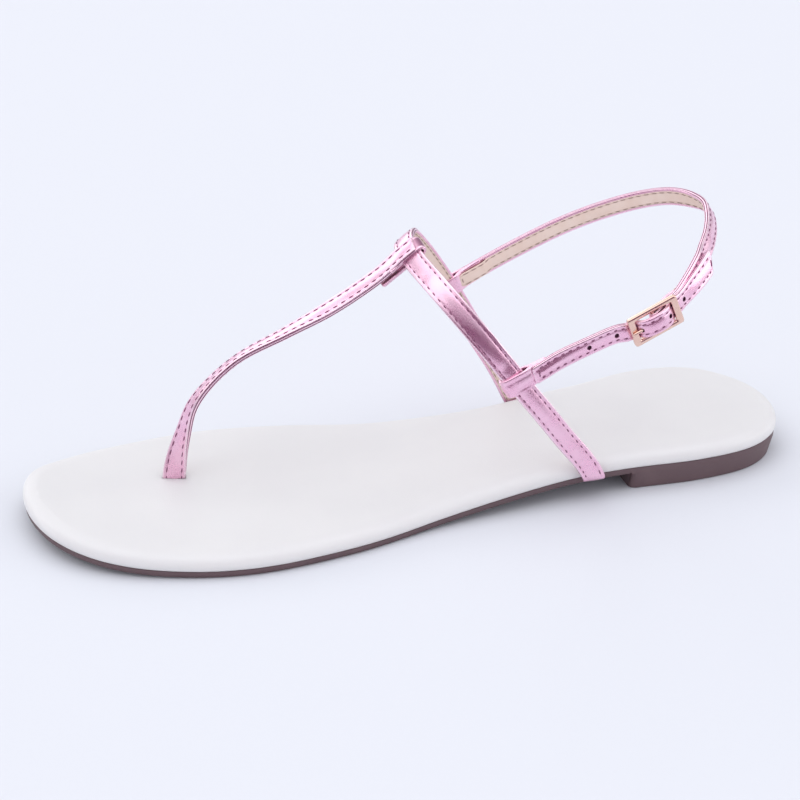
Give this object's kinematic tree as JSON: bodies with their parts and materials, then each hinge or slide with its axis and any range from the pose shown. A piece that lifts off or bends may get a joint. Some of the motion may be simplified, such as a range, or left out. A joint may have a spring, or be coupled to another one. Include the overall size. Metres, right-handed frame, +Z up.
{
  "type": "flat sandal",
  "caption": "Flat thong sandal for the left foot: low-heeled rubber sole, padded footbed, T-strap looped round a side strap, buckled ankle strap.",
  "frame": {"origin": "on the floor, at the middle of the sandal's box in length and breadth", "axes": "+X to the toe, +Y to the outer side of the left foot, +Z up"},
  "size_m": [0.245, 0.0857, 0.0817],
  "materials": {
    "outsole_rubber": "smooth brown moulded rubber",
    "footbed_synthetic": "satin white synthetic leather over foam",
    "strap_leather": "metallic pink grained leather with a tan lining",
    "buckle_metal": "polished pale rose gold plate"
  },
  "bodies": {
    "root": {"outsole": "outsole_rubber", "footbed": "footbed_synthetic", "upper": "strap_leather", "buckle_frame": "buckle_metal", "buckle_prong": "buckle_metal"}
  },
  "joints": []
}
